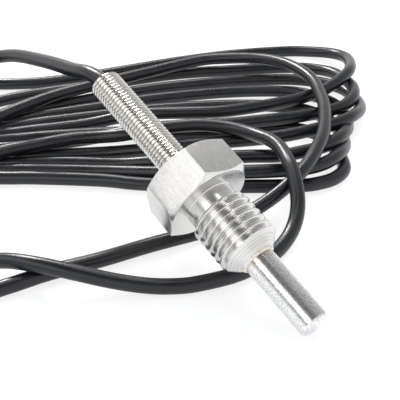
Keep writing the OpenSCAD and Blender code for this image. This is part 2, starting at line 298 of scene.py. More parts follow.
# %% A Geometry Nodes tree with named sizes
class Recipe(Nodes):
    """A Geometry Nodes tree whose sizes are named inputs, and the mesh that it makes."""

    def __init__(self, name, **sizes):
        super().__init__(bpy.data.node_groups.new(name, "GeometryNodeTree"))
        self.sizes = sizes
        for key in sizes:
            self.tree.interface.new_socket(key, in_out="INPUT", socket_type="NodeSocketFloat")
        self.tree.interface.new_socket("Mesh", in_out="OUTPUT",
                                       socket_type="NodeSocketGeometry")
        self.given = self.tree.nodes.new("NodeGroupInput")

    def size(self, name):
        return Value(self, self.given.outputs[name])

    def grow(self, geometry, material):
        """The plain mesh that the tree makes, with instances made real and a material set."""
        real = self.node("GeometryNodeRealizeInstances", {}, {0: geometry})
        painted = self.node("GeometryNodeSetMaterial", {}, {"Geometry": real,
                                                            "Material": material})
        end = self.tree.nodes.new("NodeGroupOutput")
        self.tree.links.new(painted.socket, end.inputs[0])
        holder = bpy.data.objects.new("holder", bpy.data.meshes.new("holder"))
        bpy.context.scene.collection.objects.link(holder)
        modifier = holder.modifiers.new("recipe", "NODES")
        modifier.node_group = self.tree
        for item in self.tree.interface.items_tree:
            if item.in_out == "INPUT":
                modifier[item.identifier] = self.sizes[item.name]
        depsgraph = bpy.context.evaluated_depsgraph_get()
        mesh = bpy.data.meshes.new_from_object(holder.evaluated_get(depsgraph))
        holder.modifiers.clear()
        bpy.data.objects.remove(holder)
        return mesh


# %% [markdown]
# ## The camera and the light
# The camera looks down at about 32 degrees from close by, so the near loops look larger than
# the far ones. The floor is white and the light is broad and soft; the sky that metal mirrors
# is darker to one side, as a room is, which gives polished steel its bands.

# %% Camera
camera_from_face = Vector((100.3, -87.3, 97.6)) * MM
camera_at = face_centre.xy.to_3d() + camera_from_face
look_down, look_turn = math.radians(32.0), math.radians(49.7)
camera_data = bpy.data.cameras.new("studio_camera")
camera_data.sensor_width = 36.0
camera_data.lens = 76.5
camera_data.clip_start = 0.01
camera = bpy.data.objects.new("studio_camera", camera_data)
camera.location = camera_at
camera.rotation_euler = Euler((math.pi / 2 - look_down, 0, look_turn))
bpy.context.scene.collection.objects.link(camera)
bpy.context.scene.camera = camera
bpy.context.scene.view_settings.view_transform = "Standard"
print("camera", round((camera_at - face_centre).length, 3), "m from the sealing face")

# %% [markdown]
# The floor keeps the shadows, but part of what the camera and the metal see of it is an even
# white, so it looks like one bright sheet.

# %% White floor
even_for_camera, even_in_metal = 0.7, 0.55
floor_paint = Paint("white_table", Roughness=0.35, Base_Color=(0.86, 0.87, 0.9, 1))
floor_glow = floor_paint.node("ShaderNodeEmission", {}, {0: (1, 1, 1, 1), 1: 1.15})
seen = floor_paint.node("ShaderNodeLightPath", out="Is Camera Ray")
in_metal = floor_paint.node("ShaderNodeLightPath", out="Is Glossy Ray")
floor_mix = floor_paint.node("ShaderNodeMixShader", {}, {
    0: seen * even_for_camera + in_metal * even_in_metal,
    1: Value(floor_paint, floor_paint.shader.outputs[0]),
    2: floor_glow})
floor_paint.tree.links.new(floor_mix.socket,
                           floor_paint.tree.nodes["Material Output"].inputs[0])
bpy.ops.mesh.primitive_plane_add(size=3.0, location=(0, 0, 0))
floor = bpy.context.object
floor.name = "table_top"
floor.data.materials.append(floor_paint.material)
print("floor", round(floor.dimensions.x, 2), "m across")


# %% Lamps
def area_lamp(name, size, power):
    """A square lamp, not yet in its place."""
    lamp = bpy.data.lights.new(name, "AREA")
    lamp.size = size
    lamp.energy = power
    obj = bpy.data.objects.new(name, lamp)
    bpy.context.scene.collection.objects.link(obj)
    return obj


def softbox(name, turn, height, distance, size, power, mirrored=False, lights=True):
    """A lamp that faces the probe from a direction given from the camera's right, which the
    metal may mirror, and which may light the rest or not."""
    bearing, rise = look_turn + math.radians(turn), math.radians(height)
    lamp = area_lamp(name, size, power)
    lamp.location = Vector((math.cos(bearing) * math.cos(rise),
                            math.sin(bearing) * math.cos(rise), math.sin(rise))) * distance
    lamp.rotation_euler = (-lamp.location).to_track_quat("-Z", "Y").to_euler()
    lamp.visible_glossy = mirrored
    lamp.visible_diffuse = lights


softbox("key_softbox", 55, 50, 0.6, 0.24, 1.8)
softbox("side_softbox", -20, 35, 0.7, 0.35, 0.8)
softbox("left_softbox", 190, 40, 0.7, 0.35, 0.75)
softbox("back_softbox", 95, 48, 0.7, 0.16, 1.0, mirrored=True)
softbox("rear_streak", 115, 36, 0.7, 0.16, 3.0, mirrored=True, lights=False)
print(len(bpy.data.lights), "softboxes")

# %% [markdown]
# What the steel mirrors is drawn round the probe's own axis: bands of sky, each a stop at its
# angle from the camera's side, fading to plain white towards the probe's tip.

# %% Sky
to_camera = camera_at - face_centre
toward = to_camera - axis * to_camera.dot(axis)
toward.normalize()
aside = toward.cross(axis)
screens = ((-75, 0.95), (-52, 0.8), (-42, 0.42), (-34, 0.5), (-28, 1.9), (-6, 1.9), (1, 0.5),
           (10, 0.22), (30, 0.18), (50, 0.36), (75, 0.45), (110, 0.62), (135, 0.85))
sky = bpy.data.worlds.new("soft_sky")
sky.use_nodes = True
bpy.context.scene.world = sky
air = Nodes(sky.node_tree)
ray = air.node("ShaderNodeTexCoord", out="Generated")
around = air.maths("ARCTAN2", air.dot(ray, aside), air.dot(ray, toward))
bands = air.ramp(around / math.tau + 0.5,
                 *[(degrees / 360 + 0.5, (level, level, level)) for degrees, level in screens])
past_tip = air.spread(air.dot(ray, axis), 0.25, 0.6)
in_steel = air.mix(past_tip, bands, (0.9, 0.9, 0.9, 1))
shiny = air.node("ShaderNodeLightPath", out="Is Glossy Ray")
tone = air.mix(shiny, (0.5, 0.53, 0.56, 1), in_steel)
sky.node_tree.links.new(tone.socket, sky.node_tree.nodes["Background"].inputs[0])
print("sky with", len(screens), "bands")

# %% Strip lamp for the thin bright line along the steel
strip = area_lamp("strip_lamp", 0.4, 0.11)
strip.data.shape = "RECTANGLE"
strip.data.size_y = 0.034
strip_turn, strip_out, strip_back = math.radians(45), 0.15, 0.25
outward = toward * math.cos(strip_turn) + aside * math.sin(strip_turn)
strip_at = face_centre + outward * strip_out - axis * strip_back
strip.matrix_world = Matrix.Translation(strip_at) @ Matrix((
    axis, outward.cross(axis), outward)).transposed().to_4x4()
print("strip lamp", round((strip_at - face_centre).length, 3), "m from the sealing face")

# %% [markdown]
# ## The cable
# A black jacket with a satin sheen. The route is one smooth curve through given points:
# out of the spring, round six turns of a loose hank whose upper arms lie on the table and whose
# lower arms lie on the next turn, then two wider turns that pass under the probe.

# %% Jacket material
jacket = Paint("black_jacket", Specular_IOR_Level=0.5)
on_jacket = jacket.place()
pores = jacket.noise(on_jacket, 2600, 3.0, 0.6)
wear = jacket.noise(on_jacket, 140, 3.0, 0.6)
black_jacket = jacket.wire(
    Base_Color=jacket.ramp(wear, (0.35, (0.008, 0.009, 0.011)), (0.7, (0.017, 0.018, 0.022))),
    Roughness=jacket.spread(wear, 0.3, 0.7, 0.25, 0.34),
    Normal=jacket.bump(pores, 0.00001, 0.5))
print("material", black_jacket.name)

# %% The route's layout in the hank's own axes: along it, across it, up, in millimetres
hank_turn = math.radians(49.7)
on_table = 1.6
tie_x, tie_w, tie_t, turn_h = -74.0, 4.0, 0.8, 3.14
tie_near_y, tie_far_y = 27.5, 68.5
fold_x, fold_y, flare = -94.5, 48.3, 24.0


def from_hank(x, y, z=on_table):
    """A point in the hank's axes, as a point in the frame, in metres."""
    c, s = math.cos(hank_turn), math.sin(hank_turn)
    return Vector(((x * c - y * s) * MM + face_centre.x, (x * s + y * c) * MM, z * MM))


def flared(y, radius):
    """The fold's points from the tie to its ring, which begin straight in the tie and bend
    away from the middle, the angle at which the ring begins, and their side of the middle."""
    off, side = abs(y - fold_y), math.copysign(1, y - fold_y)
    centres = flare + radius - off
    reach = math.sqrt(centres ** 2 - flare ** 2)
    start = math.asin(reach / centres)
    points = [(tie_x + tie_w / 2, y, tie_t + turn_h / 2)]
    for part in (0.3, 0.65):
        points.append((fold_x + reach - (flare - off) * math.sin(start * part),
                       y + side * (flare - off) * (1 - math.cos(start * part))))
    return points, start, side


def fold(from_y, to_y, radius, steps=12):
    """The hank's left fold: flared out of the tie, round one centre and back to the tie."""
    out, first, side = flared(from_y, radius)
    back, last, _ = flared(to_y, radius)
    ring = []
    for k in range(steps + 1):
        angle = -first + (math.pi + first + last) * k / steps
        ring.append((fold_x - radius * math.sin(angle),
                     fold_y + side * radius * math.cos(angle)))
    return out + ring + back[::-1]


print("hank turned by", round(math.degrees(hank_turn), 1), "degrees")

# %% [markdown]
# A point without a height lies on the table. Each turn starts and ends in the tie.

# %% Out of the spring, then the six turns
lead_points = [(-24.5, 28.8, 27.2), (-28.5, 33.8, 25.8), (-33, 40, 24.4), (-38.5, 47.5, 22.4),
    (-44.5, 55, 20.2), (-50, 60.5, 17.8), (-57, 64.5, 14.8), (-66, 66, 11.8), (-78, 65, 8.8),
    (-90, 65, 6.6), (-99, 68, 4.8), (-104, 74, 2.8), (-103.5, 80.5, 1.8), (-98, 85),
    (-89, 85.5), (-79, 83), (-69, 81)]
turn_a = [(-56, 80.3), (-47, 81), (-40, 82.7), (-30, 86.3), (-10, 94.9), (7, 100.7),
    (23, 103.6), (30.5, 103, 1.8), (36.4, 100.3, 2.4), (39.7, 95, 3.4), (39.9, 87.2, 4.8),
    (38.3, 78.8, 6.3), (35.2, 73.2, 6.2), (31, 69, 5.4), (26, 65.8, 4.8), (17.5, 61.4, 4.8),
    (4.5, 57, 4.8), (-5, 56.2, 4.8), (-14, 56.4, 4.4), (-22, 57, 3), (-30, 56, 1.7),
    (-41.5, 53), (-49, 51), (-60, 50.2)]
turn_f = [(-60, 47), (-49, 47.6), (-38, 49.7), (-25, 51.5), (-14, 51.3), (0, 51.2), (9, 52.6),
    (18, 54.2), (24.5, 52.6), (28.4, 48.8), (30, 43.8), (31, 38.5), (30.8, 33.6), (28.2, 29.8),
    (24.3, 27.6), (19.5, 26.6), (7, 26.3), (-2, 26.4), (-15.5, 27.5), (-23.5, 29), (-38.5, 30),
    (-46, 30), (-60, 30.7)]
turn_b = [(-60, 66.5), (-52, 70.8), (-45, 74), (-29, 79.7), (-10, 86.6), (5.5, 89.4),
    (20, 91.3), (26.5, 91.4), (31.5, 90, 1.7), (35.3, 86, 2.4), (37.6, 79.6, 3.1),
    (38.5, 72.5, 4.2), (37.5, 65.6, 5), (35, 60.8, 4.9), (31.5, 58, 4.8), (25, 55, 4.8),
    (18.5, 53, 4.8), (4, 49.9, 4.8), (-13.5, 48.3, 4.6), (-24, 47.8, 2.8), (-34.5, 46.6),
    (-47, 43.8), (-60, 43.7)]
turn_e = [(-60, 53.5), (-49, 54.3), (-41.5, 57), (-25.5, 61.4), (-14, 64.5), (4.5, 66.8),
    (18, 66.5), (25.5, 64), (30.2, 59), (32.4, 53), (32.7, 47.5, 1.8), (31.9, 42, 2.9),
    (29.8, 36, 4.4), (26.6, 31.5, 4.8), (22.5, 29, 4.8), (18, 28, 4.8), (9.5, 27.2, 4.8),
    (0, 27.6, 4.4), (-13, 30.2, 2.8), (-23.5, 32.6, 1.7), (-38, 33.3), (-46, 33.3), (-60, 34)]
turn_c = [(-60, 60.2), (-50, 62), (-43, 65), (-30, 70.8), (-13, 77.6), (5, 81.8), (13.5, 83),
    (24, 83.3), (32, 81), (37.2, 76, 1.7), (39.2, 68.5, 2.1), (38.4, 60, 3.8), (35, 52.2, 5.8),
    (31, 48.2, 6), (24, 45.2, 5.5), (14.5, 42.7, 4.9), (-2, 40.3, 4.6), (-12, 40.6, 3.2),
    (-24.5, 41.4), (-38, 40.2), (-47, 39.8), (-60, 40.5)]
turn_d = [(-60, 56.8), (-49, 58), (-41.5, 61), (-25.5, 66.5), (-14, 70.8), (5, 75), (21, 75.6),
    (29, 72.3), (33.6, 66.5, 1.7), (34.8, 59, 2), (34.2, 52, 3.2), (32.6, 45.6, 5.1),
    (29.8, 40.2, 5.9), (26, 37, 5.6), (21, 35.3, 5.2), (16, 34.1, 4.9), (9.5, 34.1, 4.8),
    (0, 33.7, 4.5), (-13, 34.7, 2.9), (-20, 36, 1.7), (-31, 36.7), (-46, 36.6),
    (-60, 37.3, 1.7), (-72, 37.4, 2.4), (-77, 36.2, 3.6), (-83, 33, 4.8), (-89, 29, 4.9),
    (-94, 24.5, 4.7), (-98, 19, 3.2)]
print(sum(map(len, (turn_a, turn_b, turn_c, turn_d, turn_e, turn_f))), "points in six turns")

# %% The two wider turns and the whole route
inner_points = [(-100.5, 13.5, 1.8), (-102.5, 5), (-102, -5.5), (-96.5, -14.5), (-86, -20.3),
    (-73, -21.5), (-55, -18.5), (-38.5, -10), (-30, -5), (-21, -1), (-11.5, 4), (-2.5, 8.2),
    (4.5, 11.4, 1.9), (10, 14.6, 3.4), (14.5, 17.8, 5), (18.2, 21.2, 6.6), (21.4, 25.8, 7.6),
    (24.2, 32, 8.3), (26.5, 39.5, 8.6), (28, 50.5, 8.6), (28.1, 59, 8.4), (27.2, 67.4, 8.4),
    (24, 75.4, 8.2), (19, 82, 7.6), (12.5, 86.4, 6.6), (5, 88.2, 5.8), (-2, 87.8, 5.3),
    (-15, 81.4, 4.8), (-31, 71.5, 4.8), (-40, 65.3, 4.8), (-48.5, 56.8, 4.8),
    (-54.5, 49.5, 4.8), (-59.5, 42, 4.8), (-63.8, 34.5, 4.8), (-68, 26, 4.4), (-73, 17.5, 2.6),
    (-77, 9), (-77, 1), (-72, -5)]
front_points = [(-63, -7.5), (-53, -5.5), (-47.5, -4, 1.9), (-42, -3.6, 3), (-37.5, -4.8, 4.2),
    (-33, -6.6, 4.9), (-28.5, -7.8, 4.8), (-24, -8.4, 4), (-18, -9, 2.8), (-12, -9.3, 1.9),
    (-7, -9.2), (-2, -8.4), (6, -5), (12.5, 1), (16.4, 7, 2.6), (18.1, 12.2, 5),
    (18, 17.2, 7.8), (17, 22.4, 9.7), (15, 31, 9.6), (11, 37.5, 8.4), (5.5, 41.8, 7.9),
    (-2, 43.5, 7.9), (-11, 43.5, 7), (-19.5, 42.5, 5.8), (-25, 43, 5), (-31.5, 42.5, 4.8),
    (-39, 39.5, 4.8), (-46, 36.5, 4.8), (-53, 31.5, 4.8), (-57.5, 27.6, 4.7),
    (-60.6, 23.6, 3.6), (-62.2, 20, 2.2), (-62.8, 17), (-63, 14)]
route = (lead_points + turn_a + fold(50.2, 47, 9.5)
         + turn_f + fold(31, 63, 22.3) + turn_b + fold(43.8, 53.4, 12.7)
         + turn_e + fold(34.2, 59.8, 19.1) + turn_c + fold(40.6, 56.6, 15.9)
         + turn_d + inner_points + front_points)
print(len(route), "points in the whole route")


# %% Cable
def smooth_curve(points, steps):
    """Points on a Catmull-Rom curve through the given points."""
    ends = [points[0] * 2 - points[1]] + points + [points[-1] * 2 - points[-2]]
    made = []
    for a, b, c, d in zip(ends, ends[1:], ends[2:], ends[3:]):
        for k in range(steps):
            t = k / steps
            made.append(0.5 * (2 * b + (c - a) * t + (2 * a - 5 * b + 4 * c - d) * t ** 2
                               + (3 * b - a - 3 * c + d) * t ** 3))
    return made + [points[-1]]


def tube_curve(name, points, radius, material):
    """A round tube along points, as one open curve."""
    data = bpy.data.curves.new(name, "CURVE")
    data.dimensions = "3D"
    data.bevel_depth = radius
    data.bevel_resolution = 5
    data.use_fill_caps = True
    spline = data.splines.new("POLY")
    spline.points.add(len(points) - 1)
    for p, at in zip(spline.points, points):
        p.co = (*at, 1)
    spline.use_smooth = True
    obj = bpy.data.objects.new(name, data)
    bpy.context.scene.collection.objects.link(obj)
    data.materials.append(material)
    return obj


inside_spring = spring_end + 4
exit_at = to_probe @ Vector((sag(spring_end), 0, spring_end))
inside_at = to_probe @ Vector((sag(inside_spring), 0, inside_spring))
cable_path = smooth_curve([inside_at, exit_at] + [from_hank(*p) for p in route], 4)
cable_length = sum((b - a).length for a, b in zip(cable_path, cable_path[1:]))
cable = tube_curve("cable", cable_path, cable_r * MM, black_jacket)
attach(cable, "root")
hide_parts("cable_lead", "cable_hank", "cable_loop_inner", "cable_loop_front")
print("cable", round(cable_length, 3), "m long")

# %% [markdown]
# ## The cable's free end
# The jacket ends in a shrunk sleeve, from which the two cores come out, each with a crimped
# ferrule. The pieces are turned along the end's own axis, where the CAD solids are.

# %% Placing pieces on the free end
end_at = from_hank(*front_points[-1])
end_from = from_hank(*front_points[-2])
heading = (end_at - end_from).xy.to_3d().normalized()
beside = Vector((0, 0, 1)).cross(heading)
to_end = Matrix.Translation(end_at) @ Matrix((
    (beside.x, 0, heading.x), (beside.y, 0, heading.y), (beside.z, 1, heading.z))).to_4x4() \
    @ Matrix.Scale(MM, 4)
core_gap = ferrule_r + 0.05
ferrule_from = end_sleeve_len + bare_len - ferrule_len
core_tip = end_sleeve_len + bare_len
print("cores end", core_tip, "mm from the jacket's end")

# %% Materials of the free end
shrink_sleeve = speckled(
    "shrunk_sleeve", (900, 3.0, 0.6), ((0.3, (0.02, 0.02, 0.022)), (0.8, (0.045, 0.045, 0.05))),
    (0.42, 0.6), (0.00004, 0.5), Specular_IOR_Level=0.5)
core_white = speckled(
    "white_core", (1500, 3.0, 0.6), ((0.3, (0.72, 0.71, 0.67)), (0.7, (0.82, 0.81, 0.78))),
    (0.34, 0.46), (0.00001, 0.4), Specular_IOR_Level=0.5)
core_red = speckled(
    "red_core", (1500, 3.0, 0.6), ((0.3, (0.42, 0.018, 0.014)), (0.7, (0.55, 0.03, 0.022))),
    (0.34, 0.46), (0.00001, 0.4), Specular_IOR_Level=0.5)
crimp_metal = speckled(
    "tinned_crimp", (2500, 4.0, 0.6), ((0.3, (0.62, 0.62, 0.6)), (0.7, (0.78, 0.78, 0.77))),
    (0.22, 0.38), (0.00001, 0.5), Metallic=1.0)
print("materials", ", ".join(m.name for m in (shrink_sleeve, core_white, core_red, crimp_metal)))

# %% Sleeve
snug, shrunk = cable_r + 0.08, cable_r + 0.02
end_sleeve = finish_piece("end_sleeve", turned("end_sleeve", [
    (0, 0), (cable_r - 0.1, 0), (snug, 0.25), (snug, 1.1), (shrunk, 1.5),
    (shrunk, end_sleeve_len - 1.8), (cable_r - 0.15, end_sleeve_len - 0.6),
    (cable_r - 0.2, end_sleeve_len - 0.1), (cable_r - 0.35, end_sleeve_len),
    (0, end_sleeve_len)], 48, closed=False), shrink_sleeve, to_end, 50)
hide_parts("cable_end_sleeve")
cord_pieces = [end_sleeve]
print("sleeve of", len(end_sleeve.data.polygons), "faces")

# %% Cores and their ferrules
crimp_depth, crimp_from, crimp_step, crimp_rings = 0.14, 1.9, 0.35, 9
crimps = [(ferrule_r - crimp_depth * (k % 2), ferrule_from + crimp_from + crimp_step * k)
          for k in range(crimp_rings)]
for number, side, paint, slot in ((1, -1, core_white, "core_white"), (2, 1, core_red, "core_red")):
    to_core = to_end @ Matrix.Translation((side * core_gap, 0, 0))
    core = finish_piece(f"core_{number}", turned(f"core_{number}", [
        (0, end_sleeve_len - 0.3), (core_r, end_sleeve_len - 0.3), (core_r, ferrule_from + 0.6),
        (0, ferrule_from + 0.6)], 32, closed=False), paint, to_core, 50)
    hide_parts(f"end_core_{number}")
    ferrule = finish_piece(f"crimped_ferrule_{number}", turned(f"crimped_ferrule_{number}", [
        (0, ferrule_from), (ferrule_r - 0.06, ferrule_from), (ferrule_r, ferrule_from + 0.1),
        (ferrule_r, ferrule_from + 1.5)] + crimps + [
        (ferrule_r - 0.1, core_tip - 0.7), (ferrule_r - 0.1, core_tip - 0.1),
        (ferrule_r - 0.2, core_tip), (0, core_tip)], 32, closed=False), crimp_metal, to_core, 40)
    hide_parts(f"ferrule_{number}")
    cord_pieces += [core, ferrule]
print(len(cord_pieces), "pieces on the cable's end")

# %% [markdown]
# ## The tie
# The hank is held by a flat strap round its twelve strands. Its section is a rounded rectangle,
# swept round a rounded rectangle that hugs the strands.

# %% Material of the strap
tie_paint = Paint("woven_strap", Specular_IOR_Level=0.4)
threads = tie_paint.node("ShaderNodeTexWave", {"wave_type": "BANDS", "bands_direction": "DIAGONAL"},
                         {"Vector": tie_paint.place(), "Scale": 700.0, "Distortion": 1.0})
tie_plastic = tie_paint.wire(
    Base_Color=tie_paint.ramp(threads, (0.2, (0.01, 0.01, 0.012)), (0.9, (0.035, 0.035, 0.04))),
    Roughness=tie_paint.spread(threads, 0.0, 1.0, 0.55, 0.75),
    Normal=tie_paint.bump(threads, 0.00006, 0.6))
print("material", tie_plastic.name)


# %% Strap round the hank
def rounded_loop(low, high, bottom, top, radius, steps=6):
    """A rounded rectangle across the hank, as (y, z) points."""
    corners = ((high - radius, top - radius, 0), (low + radius, top - radius, 90),
               (low + radius, bottom + radius, 180), (high - radius, bottom + radius, 270))
    return [p for y, z, start in corners for p in arc(y, z, radius, start, start + 90, steps)]


def strap_mesh(edge=0.25, inner_round=1.3, outer_more=0.6):
    """A closed band: its outer and inner loops, with edges rounded over by a small step."""
    lifts = ((0.0, edge), (edge, 0.0), (tie_w - edge, 0.0), (tie_w, edge))
    bm = bmesh.new()
    loops = []
    for inner in (False, True):
        for across, shrink in (lifts[::-1] if inner else lifts):
            inset = tie_t - shrink if inner else shrink
            outline = rounded_loop(tie_near_y + inset, tie_far_y - inset, inset,
                                   turn_h + 2 * tie_t - inset, inner_round + (outer_more - inset))
            loops.append([bm.verts.new(from_hank(tie_x + across, y, z) / MM) for y, z in outline])
    for a, b in zip(loops, loops[1:] + loops[:1]):
        for k in range(len(a)):
            n = (k + 1) % len(a)
            bm.faces.new((a[k], a[n], b[n], b[k]))
    return to_mesh("hank_tie", bm)


hank_tie = finish_piece("hank_tie", strap_mesh(), tie_plastic, Matrix.Scale(MM, 4), 50)
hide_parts("cable_tie")
print("strap of", len(hank_tie.data.polygons), "faces")

# %% [markdown]
# ## Turned and brushed steel
# The fitting is cut from hexagon bar. Its flats keep the bar's long brush marks, and what the
# lathe cut has fine rings round the axis. A face attribute says which is which.

# %% Steel of the fitting
steel = Paint("turned_steel", Metallic=1.0)
arm = from_face(steel)
along = along_axis(steel, arm)
out = steel.vector("LENGTH", drawn_out(steel, arm, along, 1.0), out=1) * 1000.0
milled = steel.node("ShaderNodeAttribute", {"attribute_name": "milled"}, out=2)
brush = steel.noise(drawn_out(steel, arm, along, 0.94), 8000, 5.0, 0.7)
cross_brush = steel.noise(arm, 3000, 4.0, 0.65)
lathe_place = steel.node("ShaderNodeCombineXYZ", {}, {0: along, 1: out, 2: 0.0})
rings = steel.noise(lathe_place, 9.0, 4.0, 0.75)
grain = steel.node("ShaderNodeMix", {}, {0: milled, 2: rings, 3: brush * 0.7 + cross_brush * 0.3})
cloud = steel.noise(arm, 260, 3.0, 0.6)
turned_steel = steel.wire(
    Base_Color=steel.mix(steel.spread(grain - milled * 0.06, 0.35, 0.6),
                         (0.58, 0.57, 0.545, 1), (0.86, 0.85, 0.83, 1)),
    Roughness=steel.spread(grain * 0.5 + cloud * 0.5 + milled * 0.3, 0.3, 0.9, 0.13, 0.38),
    Normal=steel.bump(grain * (milled * 0.75 + 0.25), 0.00004, 0.5))
print("material", turned_steel.name)

# %% [markdown]
# ## The thread
# A helix can't be turned as rings, because each ring would cut across the crest. Here a flat
# grid is rolled up and sheared by one pitch, so that every row follows the helix. The profile
# is a function of the row, held under a cone at each end, where the thread runs out.

# %% Rows and columns of the thread's grid
helix = Recipe("screw_thread", Crest_Radius=thread_r, Root_Radius=root_r, Pitch=thread_pitch,
               Start=neck_len, Nose=thread_end,
               Nose_Slope=(thread_r - nose_r) / (nose_end - thread_end), Crest=0.14, Flank=0.37)
crest_r, under_r = helix.size("Crest_Radius"), helix.size("Root_Radius")
start, nose, nose_slope = helix.size("Start"), helix.size("Nose"), helix.size("Nose_Slope")
pitches, rows_a_pitch, thread_sides = 8, 16, 96
sheet = helix.node("GeometryNodeMeshGrid", {}, {
    "Size X": 1.0, "Size Y": 1.0, "Vertices X": thread_sides + 1,
    "Vertices Y": pitches * rows_a_pitch + 1})
place = helix.node("ShaderNodeSeparateXYZ", {}, {0: helix.node("GeometryNodeInputPosition")})
turns_round = place + 0.5
row = (place.output(1) + 0.5) * float(pitches)
print("grid of", pitches * rows_a_pitch, "rows")

# %% The thread's profile, rolled up
depth = crest_r - under_r
thread_stop = nose + depth / nose_slope
climb = start + helix.size("Pitch") * (row + turns_round - 1.0)
height = climb.at_least(start).at_most(thread_stop)
from_crest = ((row + 0.5).part() - 0.5).unsigned() * 2.0
flank = 1.0 - (from_crest - helix.size("Crest")) / (2.0 * helix.size("Flank"))
flank = flank.at_least(0.0).at_most(1.0)
rounded = flank * flank * (3.0 - 2.0 * flank)
profile = under_r + depth * (0.55 * flank + 0.45 * rounded)
run_in = under_r + (height - start)
run_out = crest_r - (height - nose) * nose_slope
radius = profile.at_most(run_in).at_most(run_out).at_least(under_r)
angle = turns_round * math.tau
rolled = helix.node("ShaderNodeCombineXYZ", {}, {
    0: radius * helix.maths("COSINE", angle), 1: radius * helix.maths("SINE", angle), 2: height})
wound = helix.node("GeometryNodeSetPosition", {}, {"Geometry": sheet, "Position": rolled})
joined = helix.node("GeometryNodeMergeByDistance", {}, {"Geometry": wound, "Distance": 0.0005})
thread_mesh = helix.grow(joined, turned_steel)
print("thread of", len(thread_mesh.polygons), "faces")

# %% [markdown]
# ## The fitting
# Everything but the thread is a set of rings round the axis. A ring may follow a function of the
# angle, so the chamfer cones meet the hexagon's flats in true curves. The bare edges get a small
# rounded break, as a deburred part has.

# %% Hexagon, neck, nose and bore
def bar_radius(degrees):
    """How far out the hexagon bar reaches, with a corner at angle 0."""
    return hex_af / 2 / math.cos(math.radians(degrees % 60 - 30))


def front_chamfer(degrees):
    return bar_radius(degrees), -(bar_radius(degrees) - hex_chamfer_r) * chamfer_slope


def rear_chamfer(degrees):
    return bar_radius(degrees), -hex_len - front_chamfer(degrees)[1]


thread_out = thread_end + thread_depth * (nose_end - thread_end) / (thread_r - nose_r)
nose_steps = [(4.72, 13.25), (4.66, 13.33), (4.2, 13.72), (4.12, 13.86), (3.62, 14.22)]
body_mesh = turned("fitting_body", [
    (root_r, thread_out), *nose_steps, (nose_r, nose_end), (tube_r, nose_end),
    (tube_r, socket_floor), (socket_r, socket_floor), (socket_r, -hex_len),
    (hex_chamfer_r, -hex_len), rear_chamfer, front_chamfer, (hex_chamfer_r, 0),
    (neck_r + neck_lead, 0), (neck_r, neck_lead), (neck_r, neck_len), (root_r, neck_len)],
    thread_sides, closed=False)
print("fitting's body of", len(body_mesh.polygons), "faces")

# %% Body and thread as one shell, with the hexagon's edges broken
seam_within = 0.004
shell = bmesh.new()
shell.from_mesh(body_mesh)
shell.from_mesh(thread_mesh)
bmesh.ops.remove_doubles(shell, verts=shell.verts, dist=seam_within)
bmesh.ops.recalc_face_normals(shell, faces=shell.faces)
print("open edges of the fitting:", sum(1 for e in shell.edges if not e.is_manifold))
edges = [e for e in shell.edges if len(e.link_faces) == 2
         and e.calc_face_angle() > math.radians(break_from_degrees)
         and all(v.co.z < 0.01 and v.co.xy.length > neck_r + 1 for v in e.verts)]
bmesh.ops.bevel(shell, geom=edges, offset=hex_break, segments=2, profile=0.5, affect="EDGES",
                clamp_overlap=True)
print(len(edges), "edges broken")

# %% Fitting in its place, with its milled flats marked
milled_layer = shell.faces.layers.float.new("milled")
for face in shell.faces:
    middle = face.calc_center_median()
    flat_on = abs(face.normal.z) < 0.05 and middle.xy.length > hex_af / 2 - 0.05
    face[milled_layer] = 1.0 if flat_on and -hex_len < middle.z < 0 else 0.0
fitting_mesh = bpy.data.meshes.new("hex_fitting")
shell.to_mesh(fitting_mesh)
shell.free()
fitting = finish_piece("hex_fitting", fitting_mesh, turned_steel,
                       to_probe @ Matrix.Rotation(math.radians(hex_turn), 4, "Z"), 28)
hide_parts("threaded_fitting")
print("fitting of", len(fitting_mesh.polygons), "faces")

# %% [markdown]
# ## The tube and its weld
# The tube is drawn and polished, with a fine grain, a heat tint next to the weld and a closed
# end. The weld bead is a ring of small overlapping ripples.

# %% Steel of the tube
tube_paint = Paint("polished_tube", Metallic=1.0)
arm = from_face(tube_paint)
along = along_axis(tube_paint, arm)
draw_marks = tube_paint.noise(drawn_out(tube_paint, arm, along, 0.85), 2600, 4.0, 0.7)
mottle = tube_paint.noise(arm, 3000, 4.0, 0.7)
tint = tube_paint.noise(arm, 420, 2.0, 0.5)
heat = tube_paint.spread(along + tint * 4.0, nose_end + 2.4, nose_end + 3.8, 1.0, 0.0)
polished = tube_paint.mix(tube_paint.spread(mottle, 0.38, 0.55), (0.64, 0.64, 0.63, 1),
                          (0.92, 0.92, 0.915, 1))
polished_steel = tube_paint.wire(
    Base_Color=tube_paint.mix(heat * 0.7, polished, (0.6, 0.45, 0.24, 1)),
    Roughness=tube_paint.spread(mottle * 0.6 + draw_marks * 0.4, 0.3, 0.7, 0.06, 0.18),
    Normal=tube_paint.bump(draw_marks * 0.3 + mottle * 0.7, 0.00004, 0.7))
print("material", polished_steel.name)

# %% Tube and closed end
tip_centre = tube_r - tip_round, tip_end - tip_round
outside = arc(*tip_centre, tip_round, 0, 90, 10)
inside = arc(*tip_centre, tip_round - tube_wall, 90, 0, 6)
bore_r, under_weld = tube_r - tube_wall, tube_r - weld_depth
tube = finish_piece("closed_tube", turned("closed_tube", [
    (0, tip_end - tube_wall)] + inside + [
    (bore_r, socket_floor), (tube_r, socket_floor), (tube_r, nose_end), (under_weld, nose_end),
    (under_weld, nose_end + weld_len), (tube_r, nose_end + weld_len)] + outside + [
    (0, tip_end)], 128, closed=False), polished_steel, to_probe, 40)
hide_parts("probe_tube")
print("tube of", len(tube.data.polygons), "faces")

